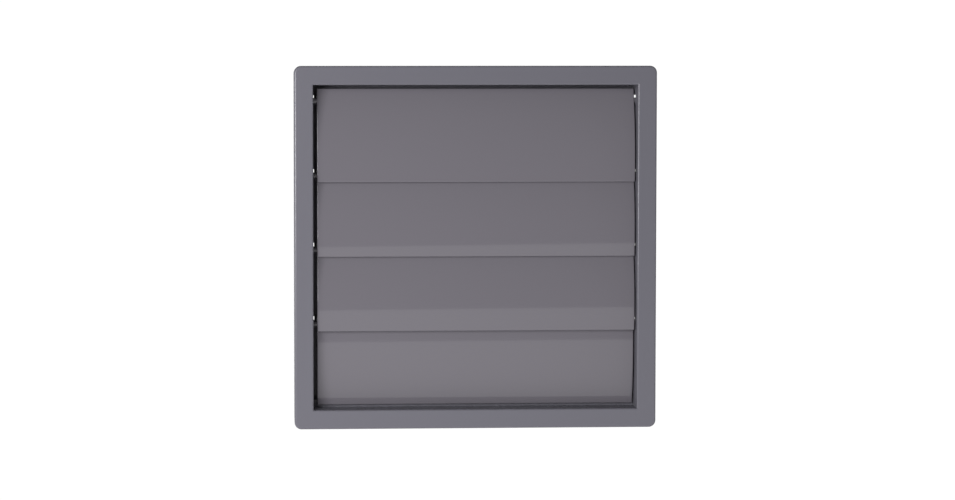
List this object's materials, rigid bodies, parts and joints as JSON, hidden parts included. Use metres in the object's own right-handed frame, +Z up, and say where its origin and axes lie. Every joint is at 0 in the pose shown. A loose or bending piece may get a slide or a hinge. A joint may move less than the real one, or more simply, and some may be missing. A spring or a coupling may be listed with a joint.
{
  "type": "duct backdraft damper",
  "caption": "Square wall outlet damper: overlapping gravity flaps in a flat bezel swing outwards to let air out of a round duct and fall shut against a backdraft.",
  "frame": {"origin": "on the duct axis, in the plane of the wall that the frame is fixed to", "axes": "+X to the right as seen from the front, +Y along the duct axis from the face into the wall, +Z up"},
  "size_m": [0.19, 0.052, 0.19],
  "materials": {
    "frame_plastic": "satin grey moulding with a faint grain",
    "flap_plastic": "semi-gloss grey moulding"
  },
  "bodies": {
    "frame": {"frame": "frame_plastic"},
    "flap_1": {"flap_1": "flap_plastic"},
    "flap_2": {"flap_2": "flap_plastic"},
    "flap_3": {"flap_3": "flap_plastic"},
    "flap_4": {"flap_4": "flap_plastic"}
  },
  "joints": [
    {"name": "flap_1_hinge", "type": "hinge", "parent": "frame", "child": "flap_1", "pos_m": [0, -0.0123, 0.0769], "axis": [-1, 0, 0], "range_deg": [0, 80]},
    {"name": "flap_2_hinge", "type": "hinge", "parent": "frame", "child": "flap_2", "pos_m": [0, -0.0123, 0.03775], "axis": [-1, 0, 0], "range_deg": [0, 80]},
    {"name": "flap_3_hinge", "type": "hinge", "parent": "frame", "child": "flap_3", "pos_m": [0, -0.0123, -0.0014], "axis": [-1, 0, 0], "range_deg": [0, 80]},
    {"name": "flap_4_hinge", "type": "hinge", "parent": "frame", "child": "flap_4", "pos_m": [0, -0.0123, -0.04055], "axis": [-1, 0, 0], "range_deg": [0, 80]}
  ],
  "couplings": [
    {"joint": "flap_2_hinge", "follows": "flap_1_hinge", "ratio": 1},
    {"joint": "flap_3_hinge", "follows": "flap_1_hinge", "ratio": 1},
    {"joint": "flap_4_hinge", "follows": "flap_1_hinge", "ratio": 1}
  ]
}
